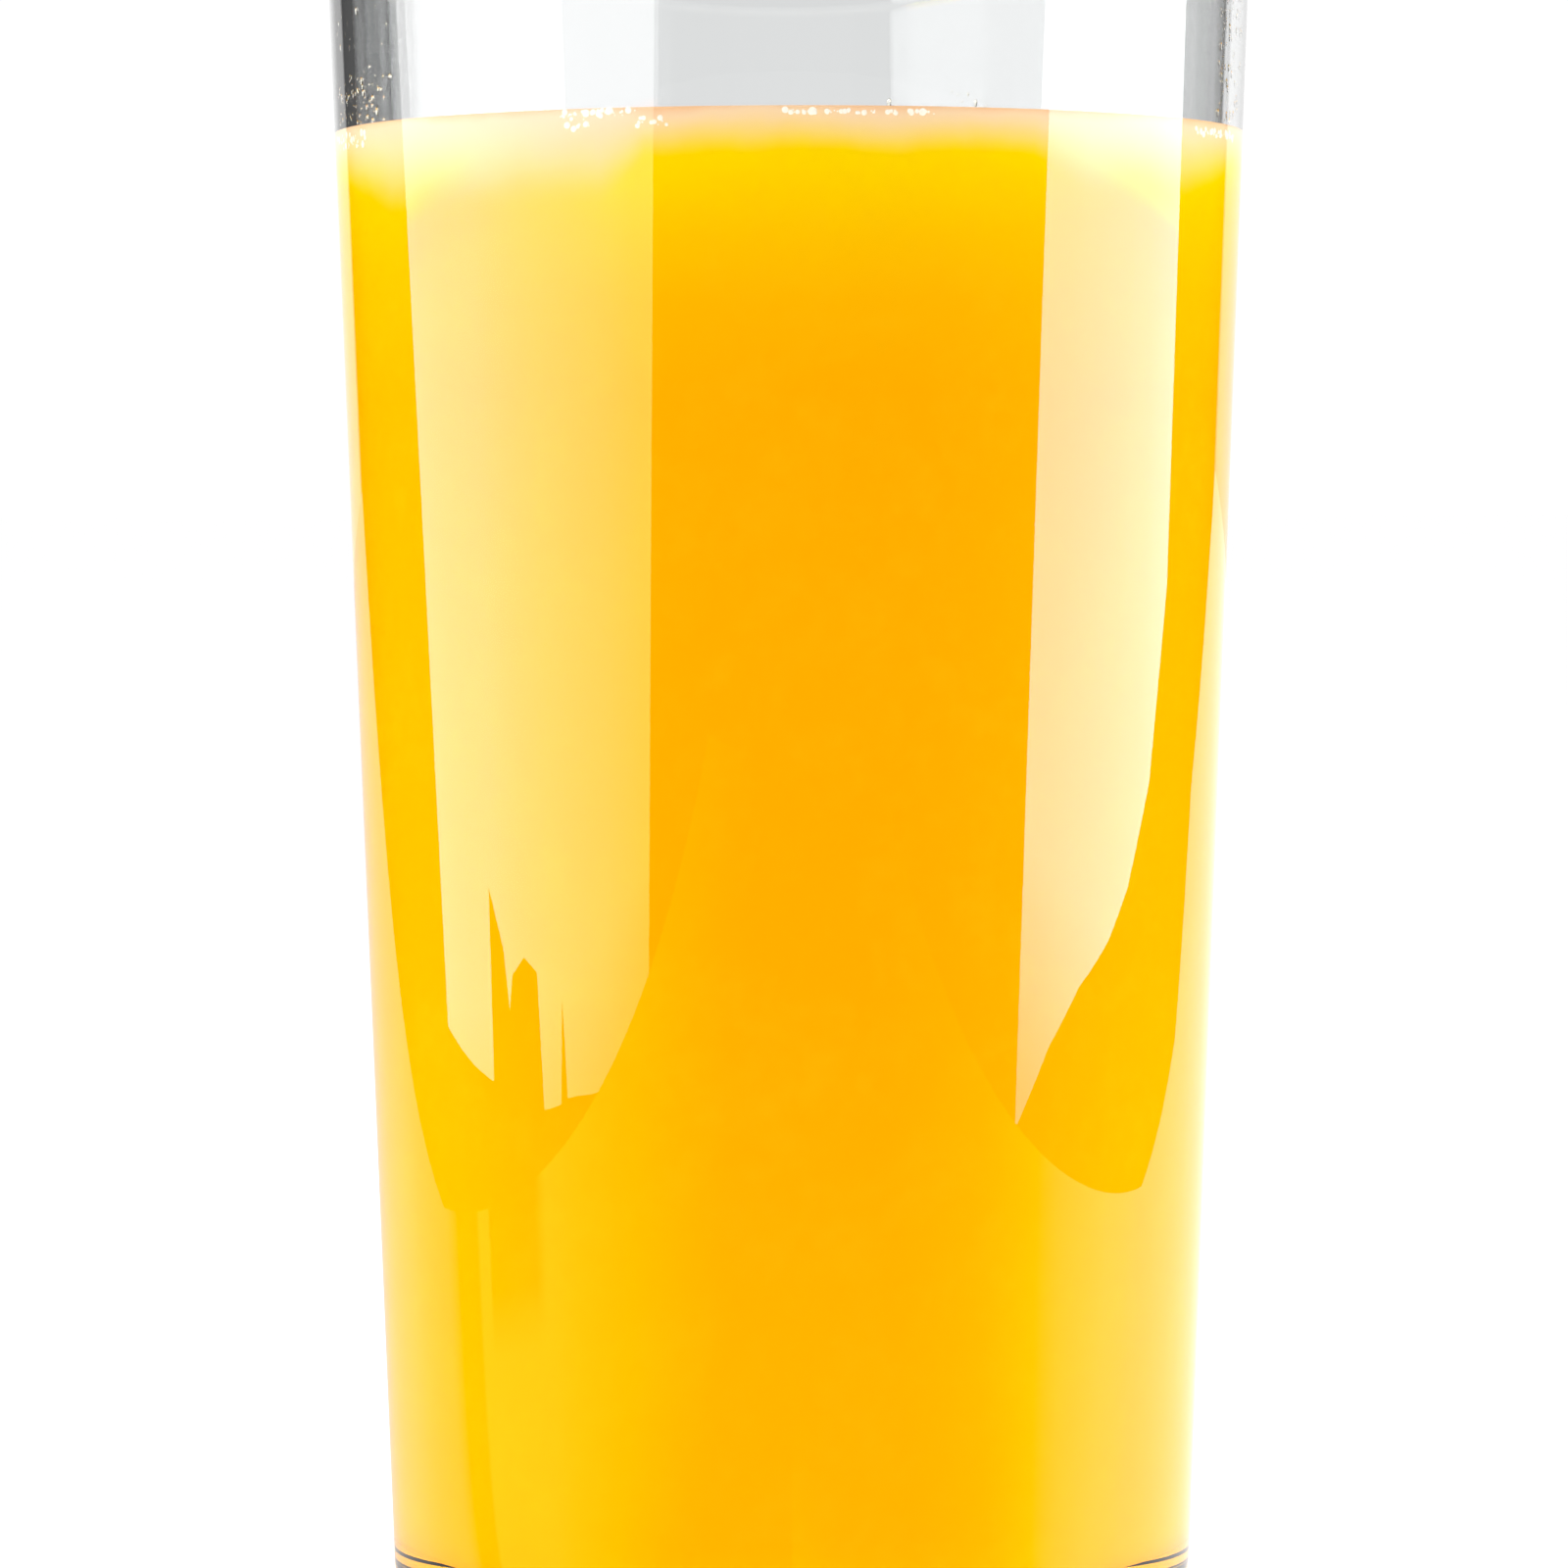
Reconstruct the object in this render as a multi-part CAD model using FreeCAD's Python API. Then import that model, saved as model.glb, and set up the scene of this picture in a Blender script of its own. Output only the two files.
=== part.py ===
import FreeCAD, Part
import math
import os

# A glass of orange juice, as two solids in millimetres, with +Z up.
# tumbler: one piece of clear glass, a straight-sided cone that widens upwards.
# juice: what fills it, from the floor of the cavity to a level under the rim.
# The origin is the centre of the base, on the surface that the glass stands on.

# Tumbler, outside
HEIGHT = 133.0
RIM_DIAMETER = 69.6
BASE_DIAMETER = 59.9        # where the wall's straight line would meet the table
HEEL_RADIUS = 3.5           # round between the wall and the foot
FOOT_RING_WIDTH = 3.2       # flat ring that the glass rests on
HOLLOW_DEPTH = 0.9          # rise of the underside inside the foot ring

# Tumbler, inside
WALL = 1.65                 # measured level, the same from the rim to the floor
FLOOR_THICKNESS = 5.0       # from the table to the cavity's floor
CAVITY_CORNER_RADIUS = 4.0  # round between the cavity's floor and its wall

# Juice
HEADROOM = 22.2             # from the rim down to the line where juice meets glass
MENISCUS_RISE = 1.1         # how far the juice climbs the wall
MENISCUS_ANGLE = 60.0       # slope of the juice where it meets the glass, in degrees

# Worked out from the sizes above
TAPER = (RIM_DIAMETER - BASE_DIAMETER) / 2 / HEIGHT
TAPER_ANGLE = math.atan(TAPER)
CONTACT_Z = HEIGHT - HEADROOM
LEVEL_Z = CONTACT_Z - MENISCUS_RISE


def outer_radius(z):
    """Outer radius of the straight wall at a height."""
    return BASE_DIAMETER / 2 + TAPER * z


def inner_radius(z):
    """Radius of the cavity's straight wall at a height."""
    return outer_radius(z) - WALL


def at(radius, z):
    """A point of the half section, which lies in the XZ plane."""
    return FreeCAD.Vector(radius, 0, z)


def line(start, end):
    return Part.LineSegment(start, end).toShape()


def arc(start, middle, end):
    return Part.Arc(start, middle, end).toShape()


def rounded_corner(before, corner, after, radius):
    """The arc of a radius that is tangent to both straight runs of a corner."""
    back = (before - corner).normalize()
    ahead = (after - corner).normalize()
    half_angle = back.getAngle(ahead) / 2
    reach = radius / math.tan(half_angle)
    towards_centre = (back + ahead).normalize()
    centre = corner + towards_centre * (radius / math.sin(half_angle))
    return corner + back * reach, centre - towards_centre * radius, corner + ahead * reach


def cavity_corner():
    """The round at the foot of the cavity, from its floor to its wall."""
    before = at(0, FLOOR_THICKNESS)
    corner = at(inner_radius(FLOOR_THICKNESS), FLOOR_THICKNESS)
    after = at(inner_radius(HEIGHT), HEIGHT)
    return rounded_corner(before, corner, after, CAVITY_CORNER_RADIUS)


def rim_arc():
    """The fire-polished rim: a full round, tangent to both faces of the wall."""
    radius = WALL * math.cos(TAPER_ANGLE) / 2
    centre_z = HEIGHT - radius
    centre = at(outer_radius(centre_z) - WALL / 2, centre_z)
    outwards = at(math.cos(TAPER_ANGLE), -math.sin(TAPER_ANGLE)) * radius
    top = centre + at(0, radius)
    return centre + outwards, top, centre - outwards


def hollow_arc(edge_radius):
    """The shallow dome under the base, from the foot ring to the axis."""
    dome_radius = (edge_radius ** 2 + HOLLOW_DEPTH ** 2) / (2 * HOLLOW_DEPTH)
    middle_r = edge_radius / 2
    middle_z = HOLLOW_DEPTH - dome_radius + math.sqrt(dome_radius ** 2 - middle_r ** 2)
    return at(0, HOLLOW_DEPTH), at(middle_r, middle_z), at(edge_radius, 0)


def revolve(edges):
    """The solid that a closed half section makes when turned round the Z axis."""
    face = Part.Face(Part.Wire(edges))
    solid = face.revolve(FreeCAD.Vector(0, 0, 0), FreeCAD.Vector(0, 0, 1), 360)
    if not solid.isValid() or len(solid.Solids) != 1:
        raise ValueError("the half section does not turn into one solid")
    return solid


def make_tumbler():
    foot_corner = at(outer_radius(0), 0)
    wall_top = at(outer_radius(HEIGHT), HEIGHT)
    heel = rounded_corner(at(0, 0), foot_corner, wall_top, HEEL_RADIUS)
    hollow = hollow_arc(heel[0].x - FOOT_RING_WIDTH)
    rim = rim_arc()
    corner = cavity_corner()
    floor_centre = at(0, FLOOR_THICKNESS)
    return revolve([
        arc(*hollow),
        line(hollow[2], heel[0]),
        arc(*heel),
        line(heel[2], rim[0]),
        arc(*rim),
        line(rim[2], corner[2]),
        arc(*reversed(corner)),
        line(corner[0], floor_centre),
        line(floor_centre, hollow[0]),
    ])


def make_juice():
    # The meniscus leaves the level surface tangent to it and climbs to the contact line.
    slope = math.radians(MENISCUS_ANGLE)
    radius = MENISCUS_RISE / (1 - math.cos(slope))
    contact = at(inner_radius(CONTACT_Z), CONTACT_Z)
    start = at(contact.x - radius * math.sin(slope), LEVEL_Z)
    middle_r = start.x + radius * math.sin(slope / 2)
    middle_z = LEVEL_Z + radius * (1 - math.cos(slope / 2))
    corner = cavity_corner()
    floor_centre = at(0, FLOOR_THICKNESS)
    level_centre = at(0, LEVEL_Z)
    return revolve([
        line(floor_centre, corner[0]),
        arc(*corner),
        line(corner[2], contact),
        arc(contact, at(middle_r, middle_z), start),
        line(start, level_centre),
        line(level_centre, floor_centre),
    ])


os.makedirs("parts", exist_ok=True)
make_tumbler().exportStep("parts/tumbler.step")
make_juice().exportStep("parts/juice.step")
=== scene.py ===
import math

import bpy
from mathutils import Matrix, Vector


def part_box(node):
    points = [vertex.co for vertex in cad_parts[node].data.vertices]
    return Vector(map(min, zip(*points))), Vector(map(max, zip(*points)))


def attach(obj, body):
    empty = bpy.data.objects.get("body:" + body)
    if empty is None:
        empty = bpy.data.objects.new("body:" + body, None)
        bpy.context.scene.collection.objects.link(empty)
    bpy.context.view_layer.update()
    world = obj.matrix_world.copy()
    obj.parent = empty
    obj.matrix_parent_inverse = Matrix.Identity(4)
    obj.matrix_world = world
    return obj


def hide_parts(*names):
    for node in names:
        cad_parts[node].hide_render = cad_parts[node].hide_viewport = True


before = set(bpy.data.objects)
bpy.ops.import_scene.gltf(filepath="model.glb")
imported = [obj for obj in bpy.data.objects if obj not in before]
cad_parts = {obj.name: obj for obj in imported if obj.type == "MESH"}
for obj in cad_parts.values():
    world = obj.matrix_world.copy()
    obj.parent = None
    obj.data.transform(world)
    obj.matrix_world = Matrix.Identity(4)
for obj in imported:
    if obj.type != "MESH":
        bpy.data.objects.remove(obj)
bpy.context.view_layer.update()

MM = 0.001
scene = bpy.context.scene


# ---------------------------------------------------------------- the tumbler
# A straight-sided tumbler of clear soda-lime glass, blown in a turned mould and
# widening upwards. Its rim is fire-polished to a full round, its heel is round,
# and it stands on a narrow ring round a shallow hollow.

_, glass_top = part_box("tumbler")
_, juice_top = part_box("juice")
GLASS_HEIGHT = glass_top[2]
BASE_RADIUS = 29.95 * MM           # where the wall's line would meet the table
RIM_RADIUS = 34.8 * MM
WALL = 1.65 * MM
HEEL_RADIUS = 3.5 * MM
FOOT_RING_WIDTH = 3.2 * MM
HOLLOW_DEPTH = 0.9 * MM
FLOOR_THICKNESS = 5.0 * MM
CAVITY_CORNER_RADIUS = 4.0 * MM
WALL_STEP = 2.0 * MM               # spacing of the rings along a straight run
CLOSE_RING = 0.2 * MM              # from a round to the straight run's first ring
ROUND_STEPS = 14                   # steps along a round or along the hollow
RIM_STEPS = 18                     # steps over the rim
TURN_STEPS = 240                   # steps once round the axis
TAPER = (RIM_RADIUS - BASE_RADIUS) / GLASS_HEIGHT


def outer_radius(z):
    return BASE_RADIUS + TAPER * z


def inner_radius(z):
    return outer_radius(z) - WALL


def round_corner(before, corner, after, radius):
    """Points of the arc that is tangent to both runs of a corner."""
    corner = Vector(corner)
    back = (Vector(before) - corner).normalized()
    ahead = (Vector(after) - corner).normalized()
    half = back.angle(ahead) / 2
    centre = corner + (back + ahead).normalized() * (radius / math.sin(half))
    start = corner + back * (radius / math.tan(half)) - centre
    turn = start.angle_signed(corner + ahead * (radius / math.tan(half)) - centre)
    first = math.atan2(start.y, start.x)
    angles = [first - turn * i / ROUND_STEPS for i in range(ROUND_STEPS + 1)]
    return [(centre.x + radius * math.cos(a), centre.y + radius * math.sin(a)) for a in angles]


def straight(start, end):
    """Points between two ends, with one close to each so that the shading stays true."""
    start, end = Vector(start), Vector(end)
    length = (end - start).length
    close = min(CLOSE_RING, length / 4)
    count = max(1, round((length - 2 * close) / WALL_STEP))
    places = [close + (length - 2 * close) * i / count for i in range(count + 1)]
    return [tuple(start.lerp(end, place / length)) for place in places]


def half_section(arcs):
    """Joins arcs by straight runs into one outline from the axis to the axis."""
    outline = list(arcs[0])
    for arc in arcs[1:]:
        outline += straight(outline[-1], arc[0]) + list(arc)
    return outline


def cavity_arcs(reach):
    """The round at the cavity's foot, moved into the glass by a reach."""
    floor = FLOOR_THICKNESS - reach
    corner = (inner_radius(floor) + reach, floor)
    wall_top = (inner_radius(GLASS_HEIGHT) + reach, GLASS_HEIGHT)
    return round_corner((0, floor), corner, wall_top, CAVITY_CORNER_RADIUS + reach)


def hollow_points(edge_radius):
    """The shallow dome under the base, from the axis to the foot ring."""
    dome = (edge_radius ** 2 + HOLLOW_DEPTH ** 2) / (2 * HOLLOW_DEPTH)
    radii = [edge_radius * i / ROUND_STEPS for i in range(ROUND_STEPS + 1)]
    return [(r, HOLLOW_DEPTH - dome + math.sqrt(dome ** 2 - r ** 2)) for r in radii]


def tumbler_outline():
    foot = (outer_radius(0), 0)
    top = (outer_radius(GLASS_HEIGHT), GLASS_HEIGHT)
    heel = round_corner((0, 0), foot, top, HEEL_RADIUS)
    lean = math.atan(TAPER)
    half_wall = WALL * math.cos(lean) / 2
    rim_z = GLASS_HEIGHT - half_wall
    rim_r = outer_radius(rim_z) - WALL / 2
    turns = [-lean + math.pi * i / RIM_STEPS for i in range(RIM_STEPS + 1)]
    rim = [(rim_r + half_wall * math.cos(a), rim_z + half_wall * math.sin(a)) for a in turns]
    hollow = hollow_points(heel[0][0] - FOOT_RING_WIDTH)
    cavity = list(reversed(cavity_arcs(0)))
    return half_section([hollow, heel, rim, cavity, [(0, FLOOR_THICKNESS)]])


def add_node(tree, kind, settings=(), **links):
    """Adds a node, sets its properties, and fills its inputs with values or links."""
    node = tree.nodes.new(kind)
    for name, value in dict(settings).items():
        setattr(node, name, value)
    for name, value in links.items():
        slot = int(name[1:]) if name[0] == "i" and name[1:].isdigit() else name.replace("_", " ")
        if isinstance(value, bpy.types.NodeSocket):
            tree.links.new(value, node.inputs[slot])
        else:
            node.inputs[slot].default_value = value
    return node


SEAM_GAP = 0.001 * MM              # points nearer than this are joined, at seam and poles


def turning_tree():
    """A lathe: turns an outline in the XZ plane once round Z, into a closed skin."""
    tree = bpy.data.node_groups.new("turned on the axis", "GeometryNodeTree")
    face = tree.interface
    face.new_socket("Geometry", in_out="INPUT", socket_type="NodeSocketGeometry")
    face.new_socket("Outline points", in_out="INPUT", socket_type="NodeSocketInt")
    face.new_socket("Steps round", in_out="INPUT", socket_type="NodeSocketInt")
    face.new_socket("Material", in_out="INPUT", socket_type="NodeSocketMaterial")
    face.new_socket("Geometry", in_out="OUTPUT", socket_type="NodeSocketGeometry")
    given = add_node(tree, "NodeGroupInput").outputs
    columns = add_node(tree, "ShaderNodeMath", {"operation": "ADD"}, i0=given[2], i1=1.0)
    grid = add_node(tree, "GeometryNodeMeshGrid", {}, Size_X=1.0, Size_Y=1.0,
                    Vertices_X=given[1], Vertices_Y=columns.outputs[0])
    place = add_node(tree, "GeometryNodeInputPosition")
    apart = add_node(tree, "ShaderNodeSeparateXYZ", {}, i0=place.outputs[0])
    last = add_node(tree, "ShaderNodeMath", {"operation": "SUBTRACT"}, i0=given[1], i1=1.0)
    along = add_node(tree, "ShaderNodeMath", {"operation": "MULTIPLY_ADD"},
                     i0=apart.outputs[0], i1=last.outputs[0])
    half = add_node(tree, "ShaderNodeMath", {"operation": "MULTIPLY"}, i0=last.outputs[0], i1=0.5)
    tree.links.new(half.outputs[0], along.inputs[2])
    nearest = add_node(tree, "ShaderNodeMath", {"operation": "ROUND"}, i0=along.outputs[0])
    outline = add_node(tree, "GeometryNodeSampleIndex", {"data_type": "FLOAT_VECTOR"},
                       Geometry=given[0], Value=place.outputs[0], Index=nearest.outputs[0])
    section = add_node(tree, "ShaderNodeSeparateXYZ", {}, i0=outline.outputs[0])
    angle = add_node(tree, "ShaderNodeMath", {"operation": "MULTIPLY"},
                     i0=apart.outputs[1], i1=2 * math.pi)
    across = []
    for way in ("COSINE", "SINE"):
        turn = add_node(tree, "ShaderNodeMath", {"operation": way}, i0=angle.outputs[0])
        side = add_node(tree, "ShaderNodeMath", {"operation": "MULTIPLY"},
                        i0=section.outputs[0], i1=turn.outputs[0])
        across.append(side.outputs[0])
    turned = add_node(tree, "ShaderNodeCombineXYZ", {}, i0=across[0], i1=across[1],
                      i2=section.outputs[2])
    moved = add_node(tree, "GeometryNodeSetPosition", {}, Geometry=grid.outputs[0],
                     Position=turned.outputs[0])
    closed = add_node(tree, "GeometryNodeMergeByDistance", {}, Geometry=moved.outputs[0],
                      Distance=SEAM_GAP)
    smooth = add_node(tree, "GeometryNodeSetShadeSmooth", {}, Geometry=closed.outputs[0])
    real = add_node(tree, "GeometryNodeRealizeInstances", {}, Geometry=smooth.outputs[0])
    done = add_node(tree, "GeometryNodeSetMaterial", {}, Geometry=real.outputs[0],
                    Material=given[3])
    out = add_node(tree, "NodeGroupOutput")
    tree.links.new(done.outputs[0], out.inputs[0])
    return tree


def run_tree(name, base, tree, values):
    """Runs a tree on a base mesh and keeps the result as a plain mesh object."""
    maker = bpy.data.objects.new(name + "_maker", base)
    scene.collection.objects.link(maker)
    modifier = maker.modifiers.new("nodes", "NODES")
    modifier.node_group = tree
    for item in tree.interface.items_tree:
        if item.name in values and item.in_out == "INPUT":
            modifier[item.identifier] = values[item.name]
    graph = bpy.context.evaluated_depsgraph_get()
    mesh = bpy.data.meshes.new_from_object(maker.evaluated_get(graph), depsgraph=graph)
    bpy.data.objects.remove(maker)
    mesh.name = name
    piece = bpy.data.objects.new(name, mesh)
    scene.collection.objects.link(piece)
    return piece


def turned_piece(name, outline, material):
    """Turns an outline of radii and heights, from the axis to the axis, into a solid."""
    base = bpy.data.meshes.new(name + "_outline")
    base.from_pydata([(r, 0, z) for r, z in outline], [], [])
    values = {"Outline points": len(outline), "Steps round": TURN_STEPS, "Material": material}
    piece = run_tree(name, base, turning_tree(), values)
    piece.data.materials.clear()
    piece.data.materials.append(material)
    face = max(piece.data.polygons, key=lambda f: f.center.xy.length)
    if face.normal.xy.dot(face.center.xy) < 0:
        piece.data.flip_normals()
    return piece


def linear(code):
    """An sRGB hex colour as linear red, green, blue and alpha."""
    parts = [int(code[i:i + 2], 16) / 255 for i in (1, 3, 5)]
    levels = [c / 12.92 if c < 0.04045 else ((c + 0.055) / 1.055) ** 2.4 for c in parts]
    return (*levels, 1.0)


def new_material(name):
    material = bpy.data.materials.new(name)
    material.use_nodes = True
    material.node_tree.nodes.clear()
    return material, material.node_tree


# Soda-lime glass, blown and fire-polished: clear, without a visible tint in a thin
# wall, and quite smooth. Lamps shine through it onto the juice.
soda_lime_glass, tree = new_material("soda-lime glass, fire-polished")
body = add_node(tree, "ShaderNodeBsdfPrincipled", {}, Base_Color=linear("#fdfefe"),
                Roughness=0.0, IOR=1.52, Transmission_Weight=1.0)
let_through = add_node(tree, "ShaderNodeBsdfTransparent", {}, Color=linear("#f8f9f9"))
ray = add_node(tree, "ShaderNodeLightPath")
either = add_node(tree, "ShaderNodeMixShader", {}, i0=ray.outputs["Is Shadow Ray"],
                  i1=body.outputs[0], i2=let_through.outputs[0])
add_node(tree, "ShaderNodeOutputMaterial", {}, Surface=either.outputs[0])

tumbler = turned_piece("glass_tumbler", tumbler_outline(), soda_lime_glass)
tumbler.visible_diffuse = False
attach(tumbler, "root")
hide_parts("tumbler")


# ------------------------------------------------------------------ the juice
# Cloudy orange juice, opaque with fine pulp. It fills the cavity and reaches just
# into the glass, so that no air shows between them, and it climbs the wall in a
# narrow meniscus.

CONTACT_Z = juice_top[2]
MENISCUS_RISE = 1.1 * MM
MENISCUS_ANGLE = math.radians(60)
MENISCUS_STEPS = 12
INTO_WALL = 0.15 * MM
LEVEL_Z = CONTACT_Z - MENISCUS_RISE
WAVER = 0.4                        # mm that the layers rise and fall
WAVER_LENGTH = 9 * MM
PULP_SIZE = 1.4 * MM
WISP_SIZE = 11 * MM


def juice_outline():
    radius = MENISCUS_RISE / (1 - math.cos(MENISCUS_ANGLE))
    contact = inner_radius(CONTACT_Z)
    foot = contact - radius * math.sin(MENISCUS_ANGLE)
    turns = [MENISCUS_ANGLE * (1 - i / MENISCUS_STEPS) for i in range(MENISCUS_STEPS + 1)]
    meniscus = [(foot + radius * math.sin(a), LEVEL_Z + radius * (1 - math.cos(a)))
                for a in turns]
    floor_centre = [(0, FLOOR_THICKNESS - INTO_WALL)]
    in_glass = [(contact + INTO_WALL, CONTACT_Z)]
    surface = [(0, LEVEL_Z)]
    return half_section([floor_centre, cavity_arcs(INTO_WALL), in_glass, meniscus, surface])


def depth_under_contact(tree, place):
    """Depth in mm under the line where juice meets glass, slightly wavy, and X, Y and Z."""
    apart = add_node(tree, "ShaderNodeSeparateXYZ", {}, i0=place)
    noise = add_node(tree, "ShaderNodeTexNoise", {}, Vector=place, Scale=1 / WAVER_LENGTH,
                     Detail=3.0)
    swing = add_node(tree, "ShaderNodeMapRange", {}, Value=noise.outputs[0], From_Min=0.3,
                     From_Max=0.7, To_Min=CONTACT_Z / MM - WAVER, To_Max=CONTACT_Z / MM + WAVER)
    height = add_node(tree, "ShaderNodeMath", {"operation": "DIVIDE"}, i0=apart.outputs[2], i1=MM)
    depth = add_node(tree, "ShaderNodeMath", {"operation": "SUBTRACT"}, i0=swing.outputs[0],
                     i1=height.outputs[0])
    return depth.outputs[0], apart


def ramp_over(tree, factor, stops):
    """A ramp over a factor. Each stop is a place in the factor's unit, and a colour or a level."""
    start, end = stops[0][0], stops[-1][0]
    share = add_node(tree, "ShaderNodeMapRange", {}, Value=factor, From_Min=start, From_Max=end)
    ramp = add_node(tree, "ShaderNodeValToRGB", {}, Fac=share.outputs[0])
    elements = ramp.color_ramp.elements
    elements.remove(elements[1])
    for at, shade in stops:
        element = elements[0] if at == start else elements.new((at - start) / (end - start))
        element.color = linear(shade) if isinstance(shade, str) else (shade, shade, shade, 1.0)
    return ramp.outputs[0]


def mixed(tree, share, first, second):
    """The first colour, with a share of the second."""
    mix = add_node(tree, "ShaderNodeMix", {"data_type": "RGBA"}, Factor=share)
    for slot, colour in ((6, first), (7, second)):
        if isinstance(colour, str):
            mix.inputs[slot].default_value = linear(colour)
        else:
            tree.links.new(colour, mix.inputs[slot])
    return mix.outputs[2]


def with_pulp(tree, place, colour, paler):
    """Fine pulp: cells about 1 mm across, thicker in wisps of about 1 cm, a little paler."""
    cells = add_node(tree, "ShaderNodeTexNoise", {}, Vector=place, Scale=1 / PULP_SIZE,
                     Detail=4.0, Roughness=0.6)
    wisps = add_node(tree, "ShaderNodeTexNoise", {}, Vector=place, Scale=1 / WISP_SIZE,
                     Detail=2.0, Distortion=1.5)
    both = add_node(tree, "ShaderNodeMath", {"operation": "MULTIPLY"}, i0=cells.outputs[0],
                    i1=wisps.outputs[0])
    share = add_node(tree, "ShaderNodeMapRange", {}, Value=both.outputs[0], From_Min=0.2,
                     From_Max=0.45, To_Min=0.0, To_Max=0.2)
    return mixed(tree, share.outputs[0], colour, paler)


# Orange juice against the glass: cloudy and soft, without any shine of its own, because
# glass and juice bend light almost alike. Its own colour is orange. Painted light makes it
# yellow at the top, as if light from above scattered in it, and it turns orange within
# 20 mm, sooner near its sides. A pale cream layer at the top is partly fine froth and
# partly painted light from above and from the soft boxes, and it is thinner in the middle
# than beside it.
DEEPEST_FROTH_AND_LIGHT = 7.0                # mm under the contact line
juice_in_glass, tree = new_material("orange juice, behind glass")
coordinates = add_node(tree, "ShaderNodeTexCoord").outputs["Object"]
depth, apart = depth_under_contact(tree, coordinates)
across = add_node(tree, "ShaderNodeMath", {"operation": "DIVIDE"}, i0=apart.outputs[0], i1=MM)
sideways = ramp_over(tree, across.outputs[0], [(-32, 1.0), (-24, 1.0), (-12, 0.0), (12, 0.0),
                                               (24, 0.7), (32, 0.7)])
sooner = add_node(tree, "ShaderNodeMath", {"operation": "MULTIPLY_ADD"}, i0=sideways, i2=depth,
                  i1=ramp_over(tree, depth, [(0, 0.0), (5, 3.6), (8, 3.2), (14, 0.5), (20, 0.0)]))
# Painted light: yellow at the top, where light from above scatters into the juice, turning to the
# juice's own orange lower down. Near the sides the painted light reaches less deep, and the juice
# turns a little yellower again toward the bottom.
juice_colour_and_top_light = ramp_over(tree, sooner.outputs[0], [
    (0.0, "#fcdb02"), (4.3, "#fcd000"), (9.0, "#fcbe00"), (13.5, "#fcb200"), (20.0, "#fcab00"),
    (60.0, "#fcab00"), (90.0, "#fcb100")])
juice_colour_and_top_light = with_pulp(tree, coordinates, juice_colour_and_top_light, "#fdc010")
# Partly froth, partly painted light: a pale cream layer at the top, where light from above and from
# the soft boxes scatters in. It is deeper to both sides of the middle.
froth_and_light_depth = add_node(tree, "ShaderNodeMath", {"operation": "MULTIPLY"}, i0=DEEPEST_FROTH_AND_LIGHT,
                       i1=ramp_over(tree, across.outputs[0], [
                           (-32, 0.5), (-28, 0.95), (-13, 1.0), (-10, 0.48), (17, 0.48),
                           (21, 0.85), (28, 0.8), (32, 0.48)]))
froth_and_light_share = add_node(tree, "ShaderNodeMapRange", {"interpolation_type": "SMOOTHSTEP"},
                       Value=depth, From_Min=0.0, From_Max=froth_and_light_depth.outputs[0], To_Min=1.0,
                       To_Max=0.0)
froth_and_light_colour = ramp_over(tree, depth, [(0.0, "#f6c596"), (0.6, "#f9d6b0")])
colour = mixed(tree, froth_and_light_share.outputs[0], juice_colour_and_top_light, froth_and_light_colour)
body = add_node(tree, "ShaderNodeBsdfPrincipled", {}, Base_Color=colour, Roughness=0.4,
                Specular_IOR_Level=0.0)
add_node(tree, "ShaderNodeOutputMaterial", {}, Surface=body.outputs[0])

# The free surface of the juice: wet and glossy, and paler with fine froth and pulp.
juice_surface, tree = new_material("orange juice, free surface")
coordinates = add_node(tree, "ShaderNodeTexCoord").outputs["Object"]
colour = with_pulp(tree, coordinates, "#fcbc14", "#ffd860")
body = add_node(tree, "ShaderNodeBsdfPrincipled", {}, Base_Color=colour, Roughness=0.12,
                IOR=1.35, Subsurface_Weight=0.4, Subsurface_Scale=1.5 * MM)
body.inputs["Subsurface Radius"].default_value = (1.0, 0.45, 0.08)
add_node(tree, "ShaderNodeOutputMaterial", {}, Surface=body.outputs[0])

juice = turned_piece("orange_juice", juice_outline(), juice_in_glass)
juice.data.materials.append(juice_surface)
for face in juice.data.polygons:
    on_top = face.normal.z > 0.3 and face.center.z > LEVEL_Z - 0.1 * MM
    face.material_index = 1 if on_top else 0
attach(juice, "root")
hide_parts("juice")


# ------------------------------------------------- froth, drops and bubbles
# The juice was poured fast: fine froth clings to the glass just under the contact line,
# juice that ran back left small clear drops on the wall above it, and a few bubbles
# still lie on the surface.

def wall_patch(from_azimuth, to_azimuth, from_rise, to_rise, reach):
    """A strip of the inner wall, between two rises in mm above the contact line."""
    steps = max(2, round((to_azimuth - from_azimuth) / 2))
    points = []
    for i in range(steps + 1):
        turn = math.radians(from_azimuth + (to_azimuth - from_azimuth) * i / steps)
        for rise in (from_rise, to_rise):
            z = CONTACT_Z + rise * MM
            radius = inner_radius(z) + reach
            points.append((radius * math.sin(turn), -radius * math.cos(turn), z))
    faces = [(2 * i, 2 * i + 2, 2 * i + 3, 2 * i + 1) for i in range(steps)]
    return points, faces


def surface_patch(from_azimuth, to_azimuth, from_gap, to_gap):
    """A strip of the level surface, between two gaps in mm from the wall."""
    steps = max(2, round((to_azimuth - from_azimuth) / 3))
    points = []
    for i in range(steps + 1):
        turn = math.radians(from_azimuth + (to_azimuth - from_azimuth) * i / steps)
        for gap in (from_gap, to_gap):
            radius = inner_radius(LEVEL_Z) - gap * MM
            points.append((radius * math.sin(turn), -radius * math.cos(turn), LEVEL_Z))
    faces = [(2 * i + 3, 2 * i + 2, 2 * i, 2 * i + 1) for i in range(steps)]
    return points, faces


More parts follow.
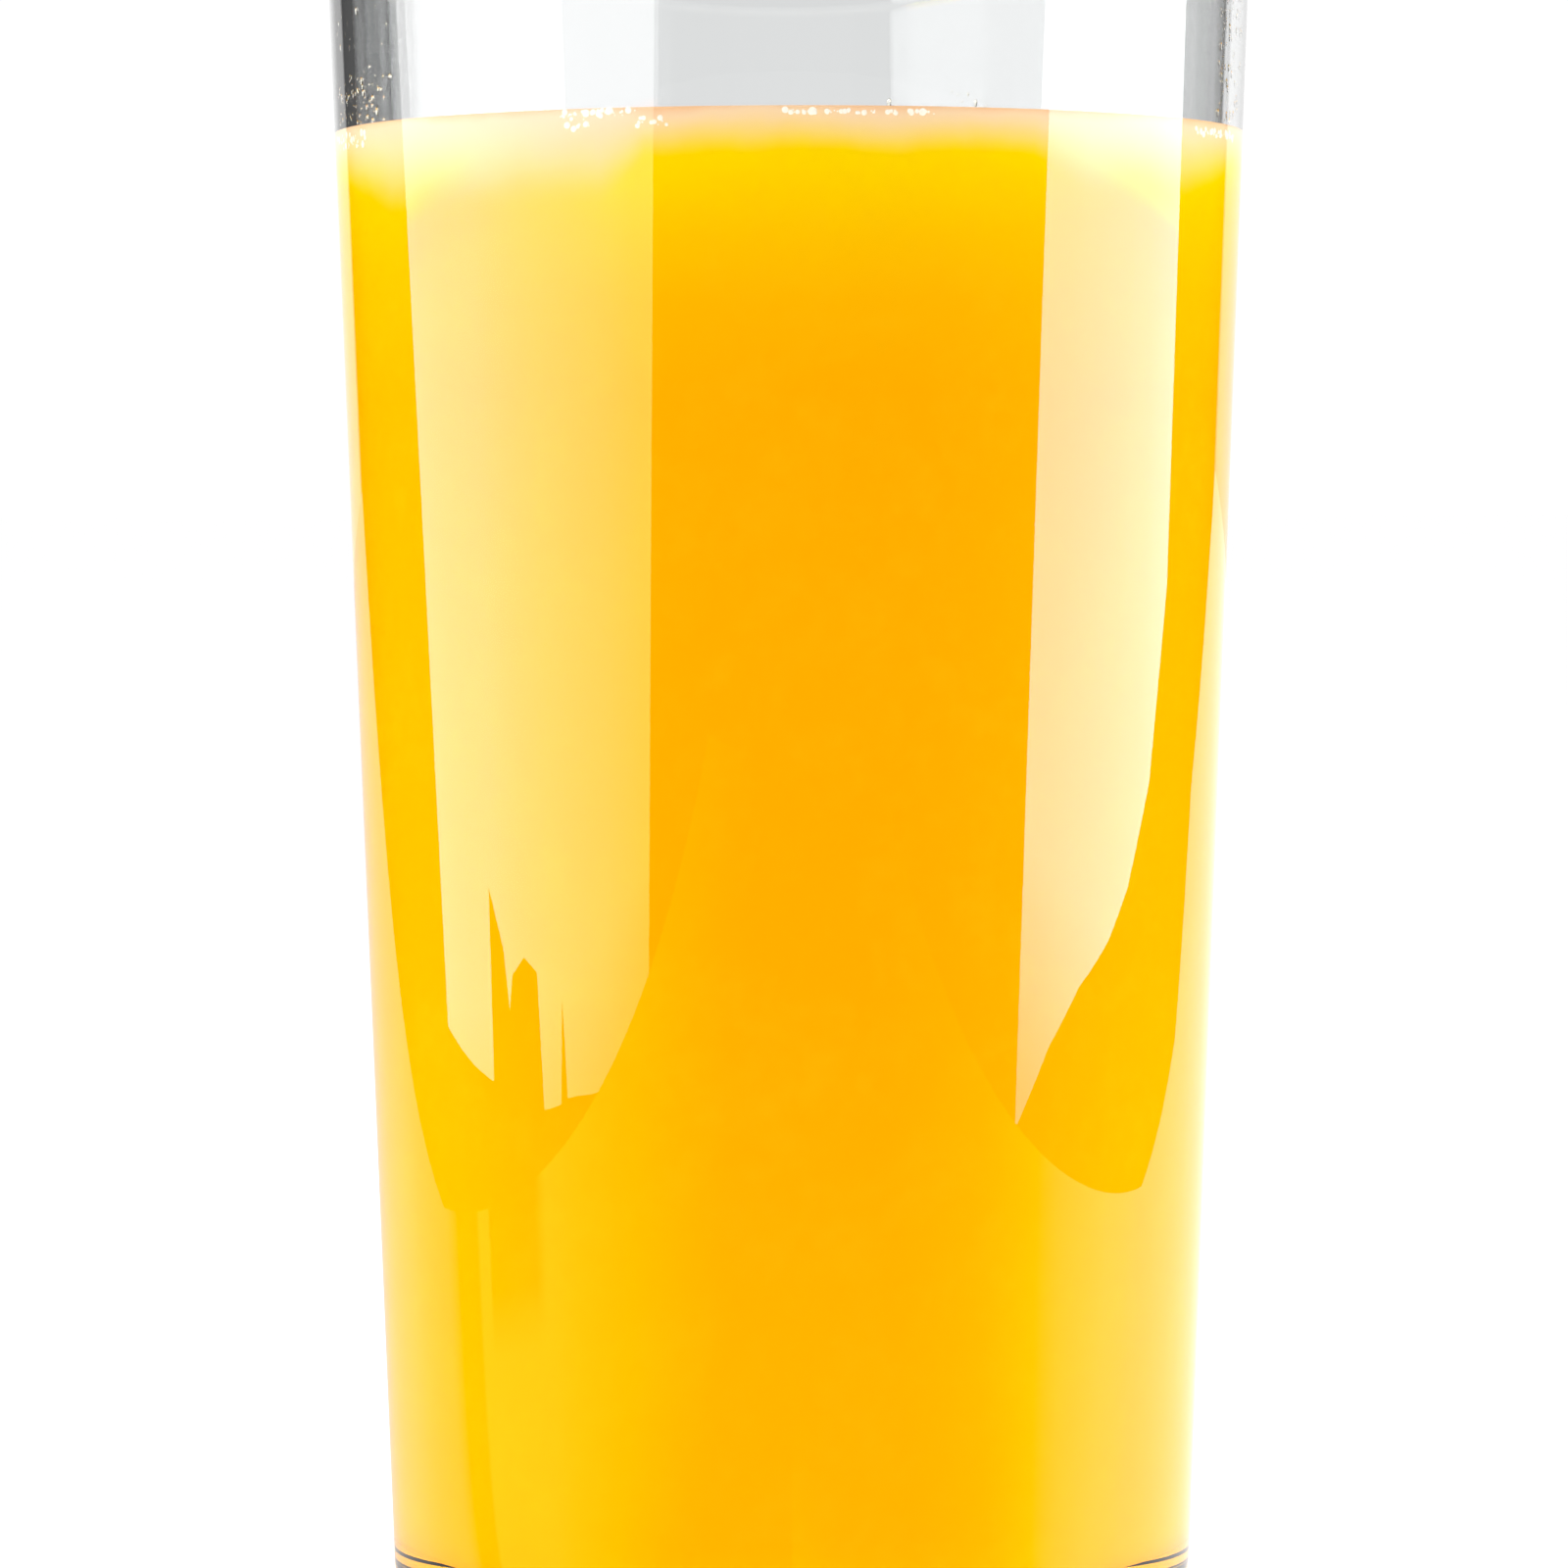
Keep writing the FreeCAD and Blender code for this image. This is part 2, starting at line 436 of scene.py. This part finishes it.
def bead_tree():
    """Scatters round beads over a mesh, as crowded as its faces say, flattened onto it."""
    tree = bpy.data.node_groups.new("scattered beads", "GeometryNodeTree")
    face = tree.interface
    face.new_socket("Geometry", in_out="INPUT", socket_type="NodeSocketGeometry")
    for name in ("Smallest radius", "Largest radius", "Flatness", "Stretch"):
        face.new_socket(name, in_out="INPUT", socket_type="NodeSocketFloat")
    face.new_socket("Seed", in_out="INPUT", socket_type="NodeSocketInt")
    face.new_socket("Material", in_out="INPUT", socket_type="NodeSocketMaterial")
    face.new_socket("Geometry", in_out="OUTPUT", socket_type="NodeSocketGeometry")
    patch, smallest, largest, flatness, stretch, seed, material, _ = add_node(
        tree, "NodeGroupInput").outputs
    crowding = add_node(tree, "GeometryNodeInputNamedAttribute", {"data_type": "FLOAT"},
                        Name="crowding")
    points = add_node(tree, "GeometryNodeDistributePointsOnFaces", {}, Mesh=patch,
                      Density=crowding.outputs[0], Seed=seed)
    facing = add_node(tree, "FunctionNodeAlignRotationToVector", {"axis": "Z"},
                      Vector=points.outputs["Normal"])
    upright = add_node(tree, "FunctionNodeAlignRotationToVector",
                       {"axis": "Y", "pivot_axis": "Z"}, Rotation=facing.outputs[0],
                       Vector=(0.0, 0.0, 1.0))
    chance = add_node(tree, "FunctionNodeRandomValue", {"data_type": "FLOAT"}, Seed=seed)
    mostly_small = add_node(tree, "ShaderNodeMath", {"operation": "POWER"},
                            i0=chance.outputs[1], i1=2.5)
    radius = add_node(tree, "ShaderNodeMapRange", {}, Value=mostly_small.outputs[0],
                      To_Min=smallest, To_Max=largest)
    longer = add_node(tree, "FunctionNodeRandomValue", {"data_type": "FLOAT"}, i2=1.0,
                      i3=stretch, ID=add_node(tree, "GeometryNodeInputIndex").outputs[0])
    high = add_node(tree, "ShaderNodeMath", {"operation": "MULTIPLY"},
                    i0=radius.outputs[0], i1=longer.outputs[1])
    thick = add_node(tree, "ShaderNodeMath", {"operation": "MULTIPLY"},
                     i0=radius.outputs[0], i1=flatness)
    size = add_node(tree, "ShaderNodeCombineXYZ", {}, i0=radius.outputs[0],
                    i1=high.outputs[0], i2=thick.outputs[0])
    ball = add_node(tree, "GeometryNodeMeshIcoSphere", {}, Radius=1.0, Subdivisions=2)
    beads = add_node(tree, "GeometryNodeInstanceOnPoints", {}, Points=points.outputs[0],
                     Instance=ball.outputs[0], Rotation=upright.outputs[0],
                     Scale=size.outputs[0])
    real = add_node(tree, "GeometryNodeRealizeInstances", {}, Geometry=beads.outputs[0])
    smooth = add_node(tree, "GeometryNodeSetShadeSmooth", {}, Geometry=real.outputs[0])
    done = add_node(tree, "GeometryNodeSetMaterial", {}, Geometry=smooth.outputs[0],
                    Material=material)
    out = add_node(tree, "NodeGroupOutput")
    tree.links.new(done.outputs[0], out.inputs[0])
    return tree


BEADS = bead_tree()


def beads_on(name, patches, sizes, material, seed):
    """Beads over patches, each with its count to the square mm. Sizes are the smallest and
    the largest radius in mm, the flatness, and the longest stretch up the wall."""
    points, faces, crowding = [], [], []
    for (patch_points, patch_faces), count in patches:
        faces += [tuple(len(points) + i for i in face) for face in patch_faces]
        points += patch_points
        crowding += [count / MM ** 2] * len(patch_faces)
    base = bpy.data.meshes.new(name + "_patches")
    base.from_pydata(points, [], faces)
    base.attributes.new("crowding", "FLOAT", "FACE").data.foreach_set("value", crowding)
    smallest, largest, flatness, stretch = sizes
    piece = run_tree(name, base, BEADS, {
        "Smallest radius": smallest * MM, "Largest radius": largest * MM, "Flatness": flatness,
        "Stretch": stretch, "Seed": seed, "Material": material})
    piece.data.materials.clear()
    piece.data.materials.append(material)
    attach(piece, "root")
    return piece


# Froth: bubbles far too fine to tell apart, so it looks like matt white specks.
froth_white, tree = new_material("fine juice froth")
specks = add_node(tree, "ShaderNodeTexNoise", {}, Scale=1 / (0.3 * MM), Detail=2.0,
                  Vector=add_node(tree, "ShaderNodeTexCoord").outputs["Object"])
colour = mixed(tree, specks.outputs[0], "#fff3d8", "#fffdf6")
body = add_node(tree, "ShaderNodeBsdfPrincipled", {}, Base_Color=colour, Roughness=0.5,
                IOR=1.2)
add_node(tree, "ShaderNodeOutputMaterial", {}, Surface=body.outputs[0])

AT_JUICE_SKIN = INTO_WALL - 0.01 * MM
froth = beads_on("froth_flecks", [
    (wall_patch(-30, -19, -0.55, -0.15, AT_JUICE_SKIN), 14),
    (wall_patch(-28.5, -25, -1.5, -0.6, AT_JUICE_SKIN), 6),
    (wall_patch(-19, -15, -1.3, -0.6, AT_JUICE_SKIN), 6),
    (wall_patch(-1, 18, -0.55, -0.3, AT_JUICE_SKIN), 22),
    (wall_patch(62, 77, -1.0, -0.6, AT_JUICE_SKIN), 18),
    (wall_patch(-82, -67, -1.6, -0.5, AT_JUICE_SKIN), 5),
    (wall_patch(104, 119, -0.9, -0.4, AT_JUICE_SKIN), 14),
    (wall_patch(150, 171, -0.6, -0.25, AT_JUICE_SKIN), 14),
    (wall_patch(196, 208, -1.4, -0.4, AT_JUICE_SKIN), 6),
    (wall_patch(236, 252, -0.7, -0.3, AT_JUICE_SKIN), 14)],
    (0.06, 0.3, 0.35, 1.0), froth_white, 4)

# Clear drops of thin juice and water: glassy, and almost without colour when this small.
clear_drop, tree = new_material("clear drops of thin juice")
body = add_node(tree, "ShaderNodeBsdfPrincipled", {}, Base_Color=linear("#fffdf4"),
                Roughness=0.03, IOR=1.34, Transmission_Weight=1.0)
add_node(tree, "ShaderNodeOutputMaterial", {}, Surface=body.outputs[0])

drops = beads_on("wall_drops", [
    (wall_patch(-80, -61, 0.1, 3.4, 0), 2.4),
    (wall_patch(-80, -58, 3.0, 12.0, 0), 0.2),
    (wall_patch(69, 80, 0.1, 12.0, 0), 1.6),
    (wall_patch(150, 170, 0.1, 5.0, 0), 0.8)],
    (0.06, 0.21, 0.5, 2.2), clear_drop, 9)

# Bubbles: thin-skinned domes on the surface, pale and very glossy.
bubble_skin, tree = new_material("juice bubbles")
body = add_node(tree, "ShaderNodeBsdfPrincipled", {}, Base_Color=linear("#ffe394"),
                Roughness=0.08, IOR=1.34)
add_node(tree, "ShaderNodeOutputMaterial", {}, Surface=body.outputs[0])

bubbles = beads_on("surface_bubbles", [
    (surface_patch(-180, 180, 2.2, 4.2), 0.12),
    (surface_patch(-40, -14, 2.0, 4.0), 1.2),
    (surface_patch(-5, 20, 2.0, 3.0), 1.2),
    (surface_patch(60, 84, 2.0, 4.5), 0.8),
    (surface_patch(150, 215, 2.0, 3.6), 0.6)],
    (0.12, 0.7, 0.7, 1.0), bubble_skin, 21)


# ------------------------------------------------------------------- the stage
# A white sweep lit a little from below, a table top and two large soft boxes that only
# the gloss sees, six lamps that only light things, and an even white room.

FLOOR_SIZE = 60.0
FLOOR_Z = -0.1 * MM
TABLE_Z = -0.2 * MM


def flat_sheet(name, corners, material):
    """A flat staged sheet through a few corners."""
    mesh = bpy.data.meshes.new(name)
    mesh.from_pydata([tuple(c) for c in corners], [], [tuple(range(len(corners)))])
    mesh.materials.append(material)
    sheet = bpy.data.objects.new(name, mesh)
    scene.collection.objects.link(sheet)
    return sheet


def only_reflected(sheet):
    """Leaves a sheet for the gloss, and for the gloss that is seen through the glass."""
    sheet.visible_camera = False
    sheet.visible_diffuse = False
    sheet.visible_shadow = False


def azimuth_of(tree, direction):
    """Degrees round the glass from the viewer's side, growing to the viewer's right."""
    apart = add_node(tree, "ShaderNodeSeparateXYZ", {}, i0=direction)
    towards = add_node(tree, "ShaderNodeMath", {"operation": "MULTIPLY"}, i0=apart.outputs[1],
                       i1=-1.0)
    angle = add_node(tree, "ShaderNodeMath", {"operation": "ARCTAN2"}, i0=apart.outputs[0],
                     i1=towards.outputs[0])
    degrees = add_node(tree, "ShaderNodeMath", {"operation": "DEGREES"}, i0=angle.outputs[0])
    return degrees.outputs[0]


floor_paint, tree = new_material("white sweep, lit from below")
body = add_node(tree, "ShaderNodeBsdfDiffuse", {}, Color=linear("#f6f6f6"))
glow = add_node(tree, "ShaderNodeEmission", {}, Strength=0.45)
both = add_node(tree, "ShaderNodeAddShader", {}, i0=body.outputs[0], i1=glow.outputs[0])
add_node(tree, "ShaderNodeOutputMaterial", {}, Surface=both.outputs[0])
half = FLOOR_SIZE / 2
floor = flat_sheet("floor", [(-half, -half, FLOOR_Z), (half, -half, FLOOR_Z),
                             (half, half, FLOOR_Z), (-half, half, FLOOR_Z)], floor_paint)
floor.visible_glossy = False

# The table top glows faintly yellow with the juice's own light, and brightly white beside
# and behind the glass. It is dark where two upright things stand to the left, the second
# one further off. Directions are taken from where the gloss leaves the glass, so that
# upright things stay upright in it.
TABLE_LEVEL = 2.4
GLOSS_LEAVES_AT = (19 * MM, -25 * MM)   # to either side of the middle, and towards the viewer
DARK_THING = "#303000"
table_glow, tree = new_material("table top in the gloss")
place = add_node(tree, "ShaderNodeTexCoord").outputs["Object"]
side = add_node(tree, "ShaderNodeVectorMath", {"operation": "SIGN"}, i0=place)
from_side = add_node(tree, "ShaderNodeVectorMath", {"operation": "MULTIPLY_ADD"},
                     i0=side.outputs[0], i1=(-GLOSS_LEAVES_AT[0], 0, 0), i2=place)
from_glass = add_node(tree, "ShaderNodeVectorMath", {"operation": "ADD"},
                      i0=from_side.outputs[0], i1=(0, -GLOSS_LEAVES_AT[1], 0))
azimuth = azimuth_of(tree, from_glass.outputs[0])
clear_table = ramp_over(tree, azimuth, [
    (-180, "#9d9d9d"), (-135, "#9d9d9d"), (-112, "#7c7c7c"), (-107, DARK_THING),
    (-98.5, DARK_THING), (-97, "#aeae48"), (-88, "#c0c048"), (-70, "#e5e548"), (-59, "#e0e030"),
    (-41, "#cbcb00"), (-14, "#484800"), (-8, "#101000"), (22, "#101000"), (51, "#868600"),
    (71, "#e3e310"), (81, "#f5f58b"), (98, "#f0f0bc"), (114, "#c6c6c6"), (180, "#c6c6c6")])
reach = add_node(tree, "ShaderNodeVectorMath", {"operation": "LENGTH"},
                 i0=from_glass.outputs[0])
far_thing = add_node(tree, "ShaderNodeMath", {"operation": "MULTIPLY"},
                     i0=ramp_over(tree, azimuth, [(-93.5, 0.0), (-92.5, 1.0), (-75, 1.0), (-71, 0.0)]),
                     i1=ramp_over(tree, reach.outputs["Value"], [(115 * MM, 0.0), (150 * MM, 1.0)]))
level = mixed(tree, far_thing.outputs[0], clear_table, DARK_THING)
glow = add_node(tree, "ShaderNodeEmission", {}, Color=level, Strength=TABLE_LEVEL)
add_node(tree, "ShaderNodeOutputMaterial", {}, Surface=glow.outputs[0])
table = flat_sheet("table_top", [(x * MM, y * MM, TABLE_Z) for x, y in (
    (-225, -600), (230, -600), (230, 70), (316, 227), (640, 607), (3400, 5000),
    (-2800, 4600), (-600, 720), (-344, 278), (-218, 60))], table_glow)
only_reflected(table)


BRIGHTEST_BOX = 7.5
BOX_DISTANCE = 450 * MM


def soft_box(name, azimuth, corners, stops, height_stops, top_tint):
    """A card that glows in the gloss and faces the glass. Azimuth turns from the viewer to
    the right. A stop is a place in mm, across the card or up it, and that place's tint.
    The top tint begins where the card shows in the empty glass and no longer in the juice."""
    turn = math.radians(azimuth)
    middle = Vector((math.sin(turn), -math.cos(turn), 0)) * BOX_DISTANCE
    sideways = Vector((math.cos(turn), math.sin(turn), 0))
    points = [middle + sideways * u * MM + Vector((0, 0, z * MM)) for u, z in corners]
    cloth, tree = new_material(name + " cloth")
    place = add_node(tree, "ShaderNodeTexCoord").outputs["Object"]
    across = add_node(tree, "ShaderNodeVectorMath", {"operation": "DOT_PRODUCT"}, i0=place,
                      i1=sideways / MM)
    up = add_node(tree, "ShaderNodeVectorMath", {"operation": "DOT_PRODUCT"}, i0=place,
                  i1=(0, 0, 1 / MM))
    tint = add_node(tree, "ShaderNodeVectorMath", {"operation": "MULTIPLY"},
                    i0=ramp_over(tree, across.outputs[1], stops),
                    i1=ramp_over(tree, up.outputs[1], height_stops))
    near_top = ramp_over(tree, up.outputs[1], [(105, 0.0), (109, 1.0)])
    glow = add_node(tree, "ShaderNodeEmission", {}, Strength=BRIGHTEST_BOX,
                    Color=mixed(tree, near_top, tint.outputs[0], top_tint))
    add_node(tree, "ShaderNodeOutputMaterial", {}, Surface=glow.outputs[0])
    only_reflected(flat_sheet(name, points, cloth))


# Dark things stand low before the left box, so its lower edge is ragged.
soft_box("left_soft_box", -75,
         [(344, -42), (220, -35), (136, -30), (112, -29), (104, -14), (96, -29), (52, -28),
          (42, -8), (10, -5), (-22, -7), (-32, -12), (-45, -3), (-82, 6), (-84, -22),
          (-250, -18), (-550, 600), (640, 600)],
         [(-270, "#c3bcc3"), (-70, "#d4d4cf"), (82, "#dedeb4"), (344, "#cece80")],
         [(-42, "#c0c0c0"), (-12, "#ffffff"), (41, "#ffffff"), (68, "#fff6ff"),
          (82, "#ffecff"), (89, "#ffe9ff"), (96, "#ffddff"), (102, "#ffbcff"),
          (106, "#ffb6ff")],
         "#aaaaaa")
soft_box("right_soft_box", 95,
         [(-296, -46), (-193, -24), (-109, -10), (-25, 0), (33, 9), (99, 25), (146, 54),
          (146, 600), (-100, 600), (-257, 104)],
         [(-260, "#faebfa"), (-60, "#ffe8ff"), (146, "#f2d9f2")],
         [(-38, "#b4b4b4"), (2, "#ffffff"), (50, "#ffffff"), (89, "#fff4ff"),
          (96, "#ffe6ff"), (103, "#ffd0ff")],
         "#e8e8e8")


def soft_lamp(name, azimuth, height, distance, size, power):
    """A round lamp that faces the glass and lights things without showing in them. Height,
    distance and size are in metres, and power is in watts."""
    lamp = bpy.data.lights.new(name, "AREA")
    lamp.shape = "DISK"
    lamp.size = size
    lamp.energy = power
    turn = math.radians(azimuth)
    shining = bpy.data.objects.new(name, lamp)
    shining.location = (math.sin(turn) * distance, -math.cos(turn) * distance, height)
    towards_lamp = shining.location - Vector((0, 0, GLASS_HEIGHT / 2))
    shining.rotation_euler = towards_lamp.to_track_quat("Z", "Y").to_euler()
    shining.visible_camera = False
    shining.visible_glossy = False
    shining.visible_transmission = False
    scene.collection.objects.link(shining)
    return shining


soft_lamp("fill", -20, 0.9, 0.8, 0.8, 3.0)
soft_lamp("left_lamp", -112, 0.05, 0.6, 0.4, 4.1)
soft_lamp("right_lamp", 112, 0.05, 0.6, 0.4, 4.3)
soft_lamp("left_low_lamp", -70, 0.01, 0.1, 0.08, 0.01)
soft_lamp("right_low_lamp", 70, 0.01, 0.1, 0.08, 0.01)

# The lamp overhead is for the free surface, so it leaves the sweep alone.
overhead_lamp = soft_lamp("overhead_lamp", 180, 0.95, 0.02, 0.3, 3.0)
drink = bpy.data.collections.new("drink")
for piece in (juice, froth, drops, bubbles):
    drink.objects.link(piece)
overhead_lamp.light_linking.receiver_collection = drink

# The room is white to the eye, and dark in the gloss except for the backdrop behind the
# glass. Through the glass the backdrop is light grey in the middle and white to the right,
# between two dark flags.
room = bpy.data.worlds.new("room")
room.use_nodes = True
scene.world = room
tree = room.node_tree
tree.nodes.clear()
ray = add_node(tree, "ShaderNodeLightPath")
way = add_node(tree, "ShaderNodeTexCoord").outputs["Generated"]
behind = add_node(tree, "ShaderNodeVectorMath", {"operation": "MULTIPLY"}, i0=way,
                  i1=(-1.0, -1.0, 1.0))
off_back = azimuth_of(tree, behind.outputs[0])
in_gloss = ramp_over(tree, off_back, [(-35, 0.0), (-33, 1.0), (29, 1.0), (31, 0.0)])
through = ramp_over(tree, off_back, [
    (-62, 0.78), (-60, 0.1), (-35, 0.1), (-33, 1.0), (-15, 1.0), (-13, 0.8), (-8, 0.78),
    (8.2, 0.78), (8.6, 0.45), (10.6, 0.45), (11.2, 0.0), (18, 0.0), (20, 0.12), (60, 0.12),
    (62, 0.78)])
level = add_node(tree, "ShaderNodeMix", {"data_type": "FLOAT"},
                 Factor=ray.outputs["Is Camera Ray"], A=0.6, B=1.05)
level = add_node(tree, "ShaderNodeMix", {"data_type": "FLOAT"},
                 Factor=ray.outputs["Is Glossy Ray"], A=level.outputs[0], B=in_gloss)
level = add_node(tree, "ShaderNodeMix", {"data_type": "FLOAT"},
                 Factor=ray.outputs["Is Transmission Ray"], A=level.outputs[0], B=through)
light = add_node(tree, "ShaderNodeBackground", {}, Strength=level.outputs[0])
light.inputs["Color"].default_value = (1, 1, 1, 1)
add_node(tree, "ShaderNodeOutputWorld", {}, Surface=light.outputs[0])
scene.view_settings.view_transform = "Standard"


# ------------------------------------------------------------------ the camera
# A long lens a little under the juice's level, close enough to cut off the rim.

LENS = 141.5                       # mm, on a sensor 36 mm wide
CAMERA_DISTANCE = 464.3 * MM
CAMERA_HEIGHT = 83.3 * MM
LOOKS_DOWN = 2.64                  # degrees, like the two below
ROLLS = 0.136
TURNS_LEFT = 0.052
camera_data = bpy.data.cameras.new("camera")
camera_data.sensor_width = 36.0
camera_data.lens = LENS
camera = bpy.data.objects.new("camera", camera_data)
camera.location = (0.0, -CAMERA_DISTANCE, CAMERA_HEIGHT)
camera.rotation_euler = (math.radians(90 - LOOKS_DOWN), math.radians(ROLLS),
                         math.radians(TURNS_LEFT))
scene.collection.objects.link(camera)
scene.camera = camera
